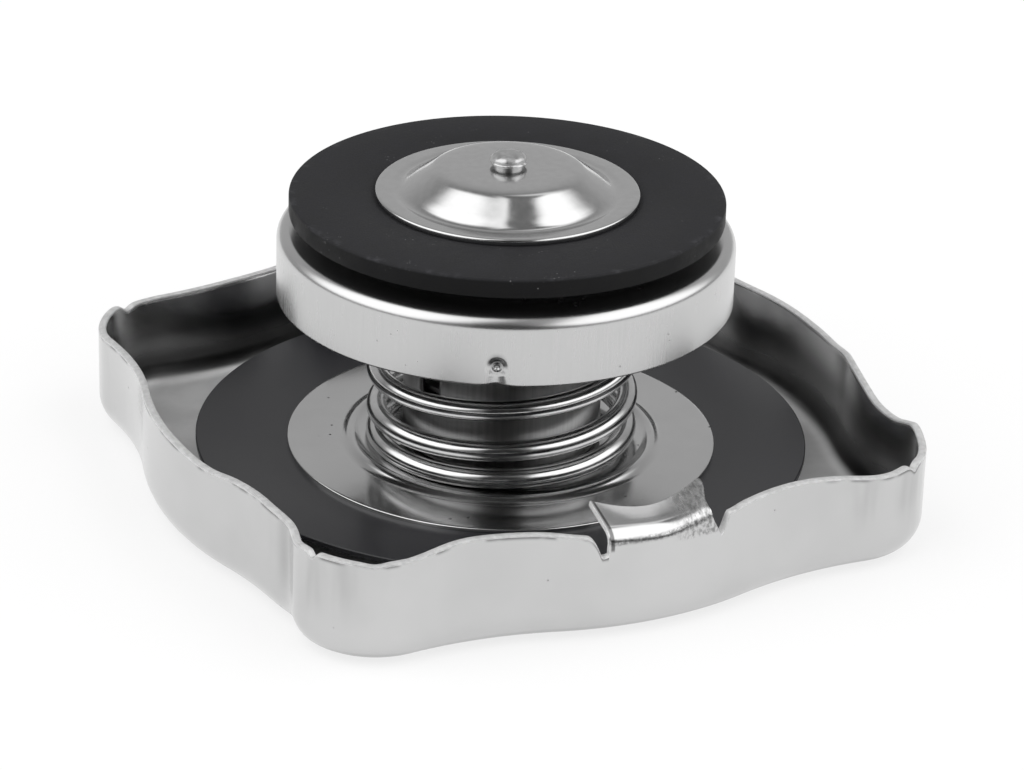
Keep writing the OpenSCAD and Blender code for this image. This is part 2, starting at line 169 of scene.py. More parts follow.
# Beyond the sweep the camera sees plain white.
shown = tent.add("ShaderNodeLightPath", out="Is Camera Ray")
tent.add("ShaderNodeOutputWorld", None, {"Surface": tent.add("ShaderNodeMixShader", None, {
    0: shown,
    1: tent.add("ShaderNodeBackground", None, {"Strength": tent_level}),
    2: tent.add("ShaderNodeBackground", None, {"Strength": 1.0})})})

# Where the sweep is seen or mirrored it mostly glows by itself, so that it comes out an even white.
SWEEP_HALF, SWEEP_GLOW, SWEEP_SHARE = 1.5, 1.03, 0.72
floor_mesh = bpy.data.meshes.new("sweep")
floor_mesh.from_pydata([(x * SWEEP_HALF, y * SWEEP_HALF, 0) for x, y in ((-1, -1), (1, -1), (1, 1), (-1, 1))],
                       [], [(0, 1, 2, 3)])
floor = bpy.data.objects.new("sweep", floor_mesh)
scene.collection.objects.link(floor)
paper = bpy.data.materials.new("white_paper")
paper.use_nodes = True
paper.node_tree.nodes.clear()
sheet = Wire(paper.node_tree)
glow = sheet.add("ShaderNodeEmission", None, {"Strength": SWEEP_GLOW})
lit = sheet.add("ShaderNodeBsdfDiffuse", None, {"Color": (0.95, 0.95, 0.95, 1)})
sheet.add("ShaderNodeOutputMaterial", None, {"Surface": sheet.add("ShaderNodeMixShader", None, {
    0: seen_or_mirrored(sheet) * SWEEP_SHARE, 1: lit, 2: glow})})
floor_mesh.materials.append(paper)


# Outer shell: a pan drawn from one sheet of bright steel and trimmed at the rim, with four lobes to grip.
# Two tabs are bent in over relief notches, and the middle is pressed up round the swivel rivet.
def new_finish(name, **plain):
    """A Principled material; plain values go straight on to its sockets."""
    material = bpy.data.materials.new(name)
    material.use_nodes = True
    shader = material.node_tree.nodes["Principled BSDF"]
    for socket, value in plain.items():
        shader.inputs[socket.replace("_", " ").title().replace("Ior", "IOR")].default_value = value
    return material, shader, Wire(material.node_tree)


def feed(shader, socket, wire):
    wire.tree.links.new(wire.socket, shader.inputs[socket])


def own_place(wire):
    """The piece's own coordinates, in metres."""
    return wire.add("ShaderNodeTexCoord", out="Object")


def split(wire, place):
    return [wire.add("ShaderNodeSeparateXYZ", None, {0: place}, out=k) for k in range(3)]


def joined(wire, x, y, z):
    return wire.add("ShaderNodeCombineXYZ", None, {0: x, 1: y, 2: z})


def off_axis(wire, x, y):
    return wire.math("SQRT", x * x + y * y)


def grain(wire, place, scale, detail=2.0, rough=0.5):
    return wire.add("ShaderNodeTexNoise", None, {"Vector": place, "Scale": scale, "Detail": detail,
                                                 "Roughness": rough})


def spots(wire, place, scale):
    return wire.add("ShaderNodeTexVoronoi", None, {"Vector": place, "Scale": scale})


def raised(wire, amount, distance, strength=1.0):
    return wire.add("ShaderNodeBump", None, {"Height": amount, "Distance": distance, "Strength": strength})


def grey(wire, value):
    return wire.add("ShaderNodeCombineColor", None, {0: value, 1: value, 2: value})


def new_piece(name, points, faces, material, body, nodes, crease=38):
    mesh = bpy.data.meshes.new(name)
    mesh.from_pydata(points, [], faces)
    mesh.validate()
    mesh.shade_smooth()
    mesh.set_sharp_from_angle(angle=math.radians(crease))
    mesh.materials.append(material)
    piece = bpy.data.objects.new(name, mesh)
    scene.collection.objects.link(piece)
    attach(piece, body)
    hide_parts(*nodes)
    return piece


side_r, lobe_d, lobe_r, blend_r = 35.3, 34.3, 8.25, 37.5
shell_t, shell_h, edge_r = 0.8, 10.7, 3.0
boss_r, boss_h, swivel_hole_r = 16.0, 2.4, 2.7
tab_share, tab_drop, notch_over = 0.575, 2.0, 0.2
rim_bevel, least_bevel, tab_bevel, rim_crown = 0.2, 0.04, 0.14, 0.02
tab_root = shell_h - tab_drop - notch_over

blend_turn = math.acos((lobe_d ** 2 + (side_r + blend_r) ** 2 - (lobe_r + blend_r) ** 2)
                       / (2 * lobe_d * (side_r + blend_r)))
blend_c = Vector(((side_r + blend_r) * math.cos(blend_turn), -(side_r + blend_r) * math.sin(blend_turn)))
lobe_turn = math.atan2(-blend_c.y, blend_c.x - lobe_d)
side_turn = math.pi / 4 - blend_turn
tab_turn = side_turn * tab_share


def clamped(x):
    return min(max(x, 0.0), 1.0)


def eased(x, low, high):
    x = clamped((x - low) / (high - low))
    return x * x * (3 - 2 * x)


def unit(a):
    return Vector((math.cos(a), math.sin(a)))


def rotated(p, a):
    return Vector((p.x * math.cos(a) - p.y * math.sin(a), p.x * math.sin(a) + p.y * math.cos(a)))


def turn_of(point):
    return math.degrees(math.atan2(point.y, point.x)) % 360


# The rim's height all round, in degrees and millimetres: the trimmed edge waves a little.
# A nick has its angle, its depth and half its width.
RIM = (
    (0, 10.45), (10, 10.65), (24, 10.7), (30, 10.6), (37, 10.25), (45, 10.0), (52, 10.15), (60, 10.45),
    (70, 10.6), (78, 10.65), (102, 10.7), (114, 10.6), (120, 10.4), (125, 10.15), (129, 9.95), (133, 10.3),
    (135.3, 10.25), (139.4, 10.05), (145, 10.2), (151, 10.4), (157, 10.6), (163, 10.75), (170, 10.85),
    (181, 10.75), (193, 10.5), (199.5, 10.9), (206.5, 11.1), (211, 10.95), (214, 10.65), (216.5, 10.3),
    (218.7, 10.5), (222.5, 10.6), (226.7, 10.5), (229, 10.3), (231, 10.55), (234, 10.75), (238, 11.4),
    (240.5, 11.55), (245, 11.45), (250.5, 11.2), (256, 10.7), (259, 10.5), (281, 10.55), (284.5, 10.95),
    (291, 11.1), (296.5, 10.95), (301.5, 10.5), (305.5, 9.95), (308.2, 9.9), (310.5, 10.05), (314.3, 9.85),
    (317, 9.85), (320, 10.15), (322.5, 10.65), (324, 10.4), (326, 9.95), (329, 9.85), (331.5, 10.0),
    (335.5, 10.6), (339.5, 11.0), (344.5, 11.1), (348.5, 10.75), (352, 10.45), (360, 10.45))
NICKS = ((220.6, 0.6, 0.55), (312, 0.6, 0.8), (131, 0.6, 1.1))
CREASE_TURN, CREASE_DEPTH, CREASE_WIDTH = 214, 0.5, 3.0


def rim_at(point):
    """Height of the rim: a smooth curve through the trimmed heights, less a few pinched nicks."""
    angle = turn_of(point)
    k = next(n for n in range(1, len(RIM)) if angle <= RIM[n][0])
    around = [RIM[min(max(n, 0), len(RIM) - 1)] for n in range(k - 2, k + 2)]
    (x0, y0), (x1, y1), (x2, y2), (x3, y3) = around
    width = x2 - x1
    t = (angle - x1) / width
    lean1 = (y2 - y0) / (x2 - x0) * width
    lean2 = (y3 - y1) / (x3 - x1) * width
    rim = (y1 * (1 + 2 * t) + lean1 * t) * (1 - t) ** 2 + (y2 * (3 - 2 * t) - lean2 * (1 - t)) * t ** 2
    for place, depth, spread in NICKS:
        rim -= depth * math.exp(-((angle - place) / spread) ** 2)
    return rim


def pinch(point):
    """How far the wall was drawn in at the crease beside the front lobe."""
    return CREASE_DEPTH * math.exp(-((turn_of(point) - CREASE_TURN) / CREASE_WIDTH) ** 2)


# The notches on a tab's two sides: the angles, in degrees, of the flat bottom and of the climb to the rim.
LEFT_NOTCH, RIGHT_NOTCH = (1.1, 2.4), (0.1, 1.45)


def notch_rise(beyond, left):
    """How far the notch's edge has climbed to the rim at an angle beyond the tab: round left, a V right."""
    bottom, climb = LEFT_NOTCH if left else RIGHT_NOTCH
    risen = clamped((beyond - math.radians(bottom)) / math.radians(climb))
    return 1 - (1 - risen) ** 2.2 if left else risen


TAB_STEPS, NOTCH_STEPS, SIDE_STEPS, BLEND_STEPS, LOBE_STEPS = 44, 26, 40, 26, 72
Station = namedtuple("Station", "point normal rim bevel share")


def side_angles(tabbed):
    if not tabbed:
        return [side_turn * (2 * k / SIDE_STEPS - 1) for k in range(SIDE_STEPS + 1)]
    right = [tab_turn + (side_turn - tab_turn) * (k / NOTCH_STEPS) ** 1.5 for k in range(1, NOTCH_STEPS + 1)]
    inside = 1 - tab_bevel / side_r / tab_turn
    middle = [tab_turn * inside * math.sin(math.pi * (k / TAB_STEPS - 0.5)) for k in range(TAB_STEPS + 1)]
    return [-a for a in reversed(right)] + [-tab_turn] + middle + [tab_turn] + right


def side_station(a, mid, tabbed):
    point = rotated(side_r * unit(a), mid)
    rim = rim_at(point)
    share = None
    bevel = rim_bevel
    if tabbed and abs(a) < tab_turn + 1e-9:
        share = a / tab_turn
        rim = tab_root
        bevel = least_bevel
    elif tabbed:
        beyond = abs(a) - tab_turn
        rim = tab_root + (rim - tab_root) * notch_rise(beyond, a < 0)
        bevel = least_bevel + (rim_bevel - least_bevel) * eased(beyond * side_r, 0.0, 0.35)
    return Station(point, rotated(unit(a), mid), rim, bevel, share)


def wall_stations():
    """Stations round the wall; a station on a tab has its share of the tab's half width, from -1 to 1."""
    blend_angles = [math.pi - blend_turn + (blend_turn - lobe_turn) * k / BLEND_STEPS
                    for k in range(1, BLEND_STEPS + 1)]
    blends = [(blend_c + blend_r * unit(a), -unit(a)) for a in blend_angles]
    lobe_angles = [-lobe_turn + 2 * lobe_turn * k / LOBE_STEPS for k in range(1, LOBE_STEPS)]
    lobe = [(Vector((lobe_d, 0)) + lobe_r * unit(a), unit(a)) for a in lobe_angles]
    after = [(Vector((p.x, -p.y)), Vector((n.x, -n.y))) for p, n in reversed(blends)]
    found = []
    for quarter in range(4):
        mid = quarter * math.pi / 2
        tabbed = quarter % 2 == 1
        found.extend(side_station(a, mid, tabbed) for a in side_angles(tabbed))
        lobe_mid = mid + math.pi / 4
        for p, n in blends + lobe + after:
            point = rotated(p, lobe_mid)
            normal = rotated(n, lobe_mid)
            found.append(Station(point - pinch(point) * normal, normal, rim_at(point), rim_bevel, None))
    return found


def fillet(r, steps=10):
    return [(edge_r - r * math.sin(math.pi / 2 * k / steps), edge_r - r * math.cos(math.pi / 2 * k / steps))
            for k in range(steps + 1)]


FLOOR_STEPS, WALL_STEPS, BEND_STEPS = 6, 16, 12


def floor_line(station, z, foot_r, top_r, top_z):
    """From the swivel hole over the boss and out along the floor to the start of the edge's fillet."""
    edge = station.point - edge_r * station.normal
    way = edge.normalized()
    soft = 0.5
    fall = top_z - z
    rings = [(swivel_hole_r, top_z), (top_r * 0.5, top_z), (top_r - soft, top_z),
             (top_r + soft * 0.4, top_z - fall * 0.16), ((top_r + foot_r) / 2, (top_z + z) / 2),
             (foot_r - soft * 0.4, z + fall * 0.16), (foot_r + soft, z)]
    line = [(way.x * r, way.y * r, h) for r, h in rings]
    out = edge.length
    for k in range(1, FLOOR_STEPS):
        r = foot_r + soft + (out - foot_r - soft) * k / FLOOR_STEPS
        line.append((way.x * r, way.y * r, z))
    return line


def bent_line(bend, bend_r, start, reach, inset):
    """Up the wall from start, round the bend and along the lip, as insets from the wall and heights."""
    r = bend_r - inset
    flat = (reach - bend_r * (1 - math.cos(bend))) / math.sin(bend)
    line = [(bend_r - r * math.cos(bend * k / BEND_STEPS), start + r * math.sin(bend * k / BEND_STEPS))
            for k in range(BEND_STEPS + 1)]
    bend_end, bend_top = line[BEND_STEPS]
    for k in (0.25, 0.5, 0.75, 0.96, 1.0):
        line.append((bend_end + flat * k * math.sin(bend), bend_top + flat * k * math.cos(bend)))
    return line


TAB_BEND, TAB_SADDLE, TAB_BEND_R, TAB_START, TAB_REACH = 81, 9, 1.7, 9.2, 3.6
TAB_CORNER, TAB_NECK = 0.14, 0.9
FAR_TAB = (math.radians(90), TAB_BEND_R, 8.9, 4.4)


def near_tab_line(share, inset):
    """The near tab's bend and lip: the bend starts higher at both ends, and the right corner is rounded."""
    bend = math.radians(TAB_BEND) - math.radians(TAB_SADDLE * share ** 2)
    bend_r = TAB_BEND_R - 0.3 * share - 0.35 * share ** 2
    start = TAB_START + 0.42 * max(-share - 0.25, 0.0) ** 1.3 + 1.15 * eased(share, -0.15, 1.1)
    corner = max((share - (1 - TAB_CORNER)) / TAB_CORNER, 0.0)
    reach = TAB_REACH + 0.9 * share ** 2 - 0.7 * (1 - math.sqrt(1 - corner ** 2))
    return bent_line(bend, bend_r, start, reach, inset)


def tab_line(station, inset):
    """The near tab is bent in a saddle; the far one is bent level all across."""
    if station.point.y < 0:
        return near_tab_line(station.share, inset)
    return bent_line(*FAR_TAB, inset)


def wall_point(station, inset, z):
    point, normal = station.point, station.normal
    return (point.x - inset * normal.x, point.y - inset * normal.y, z)


def tab_point(station, inset, z):
    """A tab leaves the wall along its normal and then runs straight in; the near one has a tapered neck."""
    point = station.point
    inward = Vector((0, -math.copysign(1, point.y)))
    p = point - min(inset, shell_t) * station.normal + max(inset - shell_t, 0) * inward
    neck = 0.0
    if point.y < 0:
        neck = TAB_NECK * max(station.share, 0.0) * eased(z, tab_root, 10.6) * (1 - eased(inset, 0.9, 4.3))
    return (p.x - neck, p.y, z)


def is_cut(share):
    """True at a tab's two sheared sides."""
    return share is not None and abs(share) > 1 - 1e-6


# A tab's points count as far below the rim, so that the painted shadow under the rim doesn't show on them.
NO_RIM = 99
shell_points = []
below_rim = []
shell_faces = []
cut_faces = []
inside_faces = []


def put(points, rim):
    """Add points, with how far each lies below the rim, and return their numbers."""
    start = len(shell_points)
    shell_points.extend(Vector(p) * MM for p in points)
    below_rim.extend((rim - p[2]) * MM for p in points)
    return list(range(start, start + len(points)))


def strip(a, b):
    shell_faces.extend((a[k], b[k], b[k + 1], a[k + 1]) for k in range(len(a) - 1))


Rib = namedtuple("Rib", "outer inner rim tab share")
climb = [(k / WALL_STEPS) ** 0.7 for k in range(1, WALL_STEPS + 1)]
stations = wall_stations()
ribs = []
for station in stations:
    rim, bevel, share = station.rim, station.bevel, station.share
    trim = rim if share is None else NO_RIM
    wall_z = [edge_r + (rim - bevel - edge_r) * k for k in climb]
    outer = put(floor_line(station, 0.0, boss_r + boss_h - shell_t / 2, boss_r - shell_t / 2, boss_h)
                + [wall_point(station, *s) for s in fillet(edge_r)]
                + [wall_point(station, 0, z) for z in wall_z], trim)
    inner = put(floor_line(station, shell_t, boss_r + boss_h, boss_r, boss_h + shell_t)
                + [wall_point(station, *s) for s in fillet(edge_r - shell_t)]
                + [wall_point(station, shell_t, z) for z in wall_z], trim)
    rim_edge = []
    if share is None or is_cut(share):
        rim_edge = put([wall_point(station, *s) for s in (
            (bevel * 0.3, rim - bevel * 0.3), (bevel, rim), (shell_t / 2, rim + rim_crown),
            (shell_t - bevel, rim), (shell_t - bevel * 0.3, rim - bevel * 0.3))], trim)
    tab = []
    if share is not None:
        side_bevel = tab_bevel if is_cut(share) else 0.0
        over_tab = tab_line(station, side_bevel) + tab_line(station, shell_t - side_bevel)[::-1]
        tab = [outer[-1]] + put([tab_point(station, *s) for s in over_tab], NO_RIM) + [inner[-1]]
    ribs.append(Rib(outer, inner, [outer[-1]] + rim_edge + [inner[-1]], tab, share))

for here, there in zip(ribs, ribs[1:] + ribs[:1]):
    strip(here.outer, there.outer)
    first_inside = len(shell_faces)
    strip(there.inner, here.inner)
    inside_faces.extend(range(first_inside, len(shell_faces)))
    strip([here.inner[0], here.outer[0]], [there.inner[0], there.outer[0]])
    if here.tab and there.tab:
        strip(here.tab, there.tab)
    else:
        first_cut = len(shell_faces)
        strip(here.rim, there.rim)
        cut_faces.extend(range(first_cut, len(shell_faces)))
for rib in ribs:
    if is_cut(rib.share):
        tab = rib.tab
        cuts = [[tab[0], tab[1], tab[-2], tab[-1]] + list(reversed(rib.rim[1:-1]))]
        cuts += [[tab[k], tab[k + 1], tab[-k - 2], tab[-k - 1]] for k in range(1, len(tab) // 2 - 1)]
        for cut in cuts:
            cut_faces.append(len(shell_faces))
            shell_faces.append(cut if rib.share < 0 else list(reversed(cut)))


def from_crease(station):
    return abs(turn_of(station.point) - CREASE_TURN)


def within_tab(wire, x):
    """One within the tabs' width and nothing beside it."""
    return wire.math("ABSOLUTE", x).step(0.0058, 0.0062, 1.0, 0.0)


def under_rim(wire):
    return wire.add("ShaderNodeAttribute", {"attribute_name": "below_rim"}, out="Fac")


# Outside: bright, with a faint peel, a few pits and rub marks on the near tab. Painted reflection shows as
# darker upright streaks on the lobes. Painted shade shows as dark lines along the near tab's bend, beside its
# left cut side and just under the rim, in the crease beside the front lobe, and in a band along the bottom
# edge.
crease_at = min(stations, key=from_crease).point * MM
shell_steel, shader, wire = new_finish("shell_steel", metallic=1.0)
place = own_place(wire)
x, y, z = split(wire, place)
broad = grain(wire, place, 90, 2)
peel = grain(wire, place, 520, 3)
fine = grain(wire, place, 1900, 3)
pit = spots(wire, place, 420.0).step(0.03, 0.07, 1.0, 0.0) * grain(wire, place, 170, 1).step(0.52, 0.62)
upright_place = joined(wire, x, y, z * 0.12)
from_axis = off_axis(wire, x, y)
wrinkle = grain(wire, upright_place, 620, 2) * from_axis.step(0.0365, 0.0405)
on_lobe = from_axis.step(0.0365, 0.0400)
# Painted reflection: darker upright streaks on the lobes, standing in for the dark surroundings they mirror.
lobe_reflection_streak = grain(wire, upright_place, 330, 2).step(0.48, 0.72) * on_lobe * z.step(0.003, 0.008)
on_tab = within_tab(wire, x) * z.step(0.0088, 0.0092) * (y * -1.0).step(0.0, 0.001)
# Painted shade: a dark grainy line along the start of the near tab's bend, where its reflection changes.
bend_height = 0.0098 + x.step(-0.001, 0.0062, 0.0, 0.00105)
bend_line = wire.math("ABSOLUTE", z - bend_height).step(0.00012, 0.00042, 1.0, 0.0)
bend_line_shade = on_tab * bend_line * grain(wire, place, 3600, 3, 0.7).step(0.34, 0.60, 0.15, 1.0)
rubbed = on_tab * x.step(0.0002, 0.0032)
scuff = rubbed * grain(wire, joined(wire, x, y * 0.4, z * 0.6), 2900, 3, 0.65).step(0.38, 0.66)
# Painted shade: a dark line just inside the near tab's left cut side, beside its raised burr.
beside_burr_shade = on_tab * wire.math("ABSOLUTE", x + 0.00545).step(0.0001, 0.00025, 0.7, 0.0)
# Painted shade: darker in the crease beside the front lobe.
creased = wire.add("ShaderNodeVectorMath", {"operation": "DISTANCE"}, {
    0: joined(wire, x, y, 0.0), 1: (crease_at.x, crease_at.y, 0.0)}, out="Value")
crease_shade = creased.step(0.0002, 0.0022, 0.22, 0.0) * z.step(0.002, 0.007)
# Painted shadow: a broken dark line just under the rim.
under_rim_shadow = under_rim(wire).step(0.0001, 0.0006, 1.0, 0.0) * grain(wire, place, 260, 2).step(0.48, 0.60)
# Painted shade: a darker band along the bottom edge, where the fillet mirrors the contact shadow.
foot = z.step(0.0001, 0.0003) * z.step(0.0005, 0.0014, 1.0, 0.0)
tone = broad.step(0.3, 0.7, 0.55, 0.59) + peel * 0.03
# Pits and scuffs are wear; the other marks are painted shade and painted reflection.
for mark, darkening in ((pit, 0.4), (scuff, 0.55), (bend_line_shade, 0.6), (beside_burr_shade, 1.0), (lobe_reflection_streak, 0.15), (foot, 0.4),
                        (crease_shade, 1.0), (under_rim_shadow, 0.75)):
    tone = tone * (1 - mark * darkening)
feed(shader, "Base Color", grey(wire, tone))
rough = broad * 0.08 + peel * 0.08 + fine * 0.06 + 0.06 + rubbed * 0.08 + scuff * 0.12 + pit * 0.2
feed(shader, "Roughness", rough)
relief = broad + peel * 0.05 + fine * 0.012 + wrinkle * 0.9 - scuff * 0.05
feed(shader, "Normal", raised(wire, relief, 0.00012, 0.5))

# Rim and tab sides: sheared and left torn. The tabs' sides are painted paler and less metallic, a painted
# highlight.
sheared, shader, wire = new_finish("sheared_edge")
place = own_place(wire)
tear = grain(wire, place, 1700, 3, 0.6)
on_tab = within_tab(wire, split(wire, place)[0])
# Painted highlight: the tabs' cut sides are made paler and diffuse, as if lit by the light beside them.
feed(shader, "Metallic", 0.4 - on_tab * 0.4)
feed(shader, "Base Color", grey(wire, tear.step(0.3, 0.7, 0.60, 0.74) + on_tab * 0.2))
feed(shader, "Roughness", tear.step(0.3, 0.7, 0.40, 0.52))
feed(shader, "Normal", raised(wire, tear, 0.00003, 0.5))

# Inside: left satin, with upright pleats from the drawing on the wall, and with painted light and shade. The
# wall is paler near the rim and darker deeper down, the floor is paler and less metallic, and the fillet is
# duller and darker.
satin_inside, shader, wire = new_finish("satin_inside")
place = own_place(wire)
x, y, z = split(wire, place)
on_wall = z.step(0.0035, 0.0060)
upright_place = joined(wire, x, y, z * 0.04)
pleat = grain(wire, upright_place, 230, 1) * off_axis(wire, x, y).step(0.0345, 0.0390) * on_wall
cloud = grain(wire, place, 240, 3)
on_floor = z.step(0.0009, 0.0016, 1.0, 0.0)
in_fillet = z.step(0.0009, 0.0016) * z.step(0.0030, 0.0050, 1.0, 0.0)
# Painted light and shade: paler near the rim, darker deeper down the wall, a pale diffuse floor and a darker
# fillet.
painted_inside_light = (under_rim(wire).step(0.0003, 0.0045, 1.45, 0.42) + on_floor * 1.10) * (1 - in_fillet * 0.45)
feed(shader, "Metallic", 1 - on_floor * 0.65)
feed(shader, "Base Color", grey(wire, cloud.step(0.3, 0.7, 0.48, 0.55) * painted_inside_light))
feed(shader, "Roughness", cloud.step(0.3, 0.7, 0.17, 0.24) + in_fillet * 0.14 + on_floor * 0.2)
feed(shader, "Normal", raised(wire, pleat * 2.0 + cloud * 0.06, 0.0002, 0.6))
shell = new_piece("shell", shell_points, shell_faces, shell_steel, "shell", ["outer_shell"],
                  crease=34)
for finish, faces in ((sheared, cut_faces), (satin_inside, inside_faces)):
    shell.data.materials.append(finish)
    for k in faces:
        shell.data.polygons[k].material_index = len(shell.data.materials) - 1
shell.data.attributes.new("below_rim", "FLOAT", "POINT").data.foreach_set("value", below_rim)


# Swivel rivet: a soft steel rivet that ties the insert to the shell and lets it turn.
# Its low round head lies in the hollow of the shell's boss, and its other end is upset inside the barrel.
def arc(centre_r, centre_z, r, start, end, steps=8):
    """A round stretch of a profile, from one angle to another in degrees."""
    turns = [math.radians(start + (end - start) * k / steps) for k in range(steps + 1)]
    return [(centre_r + r * math.cos(a), centre_z + r * math.sin(a)) for a in turns]


def round_steps(count):
    return [math.tau * k / count for k in range(count)]


def turned_piece(name, profile, material, body, nodes, angles=None, shape=None, crease=38):
    """Spin a closed profile of (r, z) in millimetres; shape moves a point given its angle, r and z."""
    angles = angles or round_steps(192)
    points = []
    for a in angles:
        for r, z in profile:
            if shape:
                r, z = shape(a, r, z)
            points.append((r * math.cos(a) * MM, r * math.sin(a) * MM, z * MM))
    n = len(profile)
    faces = []
    for i in range(len(angles)):
        j = (i + 1) % len(angles)
        for k in range(n):
            m = (k + 1) % n
            faces.append((i * n + k, j * n + k, j * n + m, i * n + m))
    return new_piece(name, points, faces, material, body, nodes, crease)


def box_mm(node):
    low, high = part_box(node)
    return Vector(low) / MM, Vector(high) / MM


# A solid turned piece keeps a bore as thin as a hair, so that its profile closes on itself.
low, high = box_mm("swivel_rivet")
core = 0.02
rivet_r, head_h, head_round, upset_round = 2.6, 1.2, 0.8, 0.6
upset = high.z - head_h
head_top = low.z + head_h
rivet_profile = [(core, low.z)] + arc(high.x - head_round, low.z + head_round, head_round, -90, 0)
rivet_profile += [(high.x, head_top), (rivet_r, head_top), (rivet_r, upset), (high.x, upset)]
rivet_profile += arc(high.x - upset_round, high.z - upset_round, upset_round, 0, 90) + [(core, high.z)]
rivet_steel, shader, wire = new_finish("rivet_steel", metallic=1.0)
dull = grain(wire, own_place(wire), 900, 3)
feed(shader, "Base Color", grey(wire, dull.step(0.3, 0.7, 0.48, 0.58)))
feed(shader, "Roughness", dull.step(0.3, 0.8, 0.25, 0.42))
feed(shader, "Normal", raised(wire, dull, 0.00005, 0.6))
turned_piece("rivet", rivet_profile, rivet_steel, "insert", ["swivel_rivet"])


# Diaphragm: a flat disc of spring steel between the shell's boss and the sealing disc, hardly seen.
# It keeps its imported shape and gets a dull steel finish.
def refinish(node, material):
    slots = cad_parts[node].data.materials
    slots.clear()
    slots.append(material)


refinish("diaphragm_spring", rivet_steel)


# Sealing disc: a thin dark faced disc, clamped in the middle, that closes the neck's rim.
# It is slightly dished, so that its own rim meets the neck first.
low, high = box_mm("sealing_disc")
seal_r, seal_t, seal_flat = high.x, 0.5, 21.35
seal_hole, seal_round = 2.65, 0.08
seal_profile = [(seal_hole, low.z), (seal_flat, low.z), (seal_r, high.z - seal_t)]
seal_profile += [(seal_r, high.z - seal_round), (seal_r - seal_round, high.z)]
seal_profile += [(seal_flat + 3, low.z + seal_t + 0.24), (seal_flat, low.z + seal_t)]
seal_profile += [(seal_hole, low.z + seal_t)]
seal_dark, shader, wire = new_finish("seal_dark", metallic=0.0, specular_ior_level=0.5)
place = own_place(wire)
cloud = grain(wire, place, 60, 3)
grit = grain(wire, place, 2600, 2)
tone = cloud.step(0.3, 0.7, 0.009, 0.013)
feed(shader, "Base Color", wire.add("ShaderNodeCombineColor", None, {0: tone, 1: tone, 2: tone * 1.3}))
feed(shader, "Roughness", cloud.step(0.3, 0.7, 0.27, 0.33) + grit * 0.03)
feed(shader, "Normal", raised(wire, grit, 0.000006, 0.3))
turned_piece("seal", seal_profile, seal_dark, "insert", ["sealing_disc"])


# Spring plate: a bright rolled steel plate that clamps the sealing disc round the rivet.
# A low bead pressed up in it centres the spring.
low, high = box_mm("spring_plate")
plate_r, plate_t, plate_round, bead_r, bead_h = high.x, 0.4, 0.1, 14.8, 0.5
plate_top = low.z + plate_t


def bead(z):
    """Over the bead from the inside out, on a face at height z."""
    rise = ((-1.1, 0), (-0.8, 0.06), (-0.45, bead_h * 0.6), (-0.2, bead_h * 0.95), (0, bead_h))
    fall = ((0.2, bead_h * 0.95), (0.45, bead_h * 0.6), (0.8, 0.06), (1.1, 0), (1.3, 0))
    return [(bead_r + out, z + up) for out, up in rise + fall]


plate_profile = [(seal_hole, low.z)] + bead(low.z) + [(plate_r, low.z), (plate_r, plate_top - plate_round)]
plate_profile += [(plate_r - plate_round * 0.3, plate_top - plate_round * 0.3)]
plate_profile += [(plate_r - plate_round, plate_top), (plate_r - plate_round * 2.5, plate_top)]
plate_profile += list(reversed(bead(plate_top))) + [(seal_hole, plate_top)]
plate_steel, shader, wire = new_finish("plate_steel", metallic=1.0)
place = own_place(wire)
haze = grain(wire, place, 120, 3)
speck = spots(wire, place, 700.0).step(0.06, 0.12, 1.0, 0.0) * grain(wire, place, 220, 0).step(0.56, 0.62)
feed(shader, "Base Color", grey(wire, haze.step(0.3, 0.7, 0.55, 0.60) * (1 - speck * 0.9)))
feed(shader, "Roughness", haze.step(0.3, 0.7, 0.11, 0.18) + speck * 0.4)
feed(shader, "Normal", raised(wire, haze, 0.00005, 0.4))
turned_piece("plate", plate_profile, plate_steel, "insert", ["spring_plate"], crease=50)


# Guide barrel: a drawn steel cup riveted to the plate inside the spring. Each lanced window leaves a tongue,
# bent in from its upper edge, which holds the valve's lip.
low, high = box_mm("guide_barrel")
barrel_r, barrel_t = high.x, 0.4
window_low, window_high, window_w = low.z + 7.0, low.z + 10.2, 2.6
tongue_tip_r, tongue_tip_z, tongue_share = 7.7, low.z + 7.7, 0.92
TONGUE_STEPS = 4
TONGUE_SIDES = (-0.5, 0, 0.5)
window_turns = [math.radians(198 + 120 * k) for k in range(3)]
half_window = window_w / 2 / barrel_r


def turn_between(a, b):
    """The angle from b to a, from minus half a turn to half a turn."""
    return (a - b + math.pi) % math.tau - math.pi


barrel_angles = [a for a in round_steps(144)
                 if all(abs(turn_between(a, w)) > half_window * 1.15 for w in window_turns)]
barrel_angles += [(w + half_window * s) % math.tau for w in window_turns for s in (-1, -0.5, 0, 0.5, 1)]
barrel_angles.sort()
barrel_rows = [(seal_hole, low.z), (barrel_r * 0.6, low.z)] + arc(barrel_r - 1, low.z + 1, 1, -90, 0, 6)
barrel_rows += [(barrel_r, z) for z in (
    low.z + 3.5, low.z + 5.5, window_low, (window_low + window_high) / 2, window_high, low.z + 11.4, high.z)]
barrel_points = []
barrel_faces = []
for a in barrel_angles:
    barrel_points.extend((r * math.cos(a) * MM, r * math.sin(a) * MM, z * MM) for r, z in barrel_rows)
rows = len(barrel_rows)
top_row = barrel_rows.index((barrel_r, window_high))
for i, a in enumerate(barrel_angles):
    j = (i + 1) % len(barrel_angles)
    mid = a + ((barrel_angles[j] - a) % math.tau) / 2
    open_here = any(abs(turn_between(mid, w)) < half_window for w in window_turns)
    for k in range(rows - 1):
        if open_here and top_row - 2 <= k < top_row:
            continue
        barrel_faces.append((i * rows + k, j * rows + k, j * rows + k + 1, i * rows + k + 1))
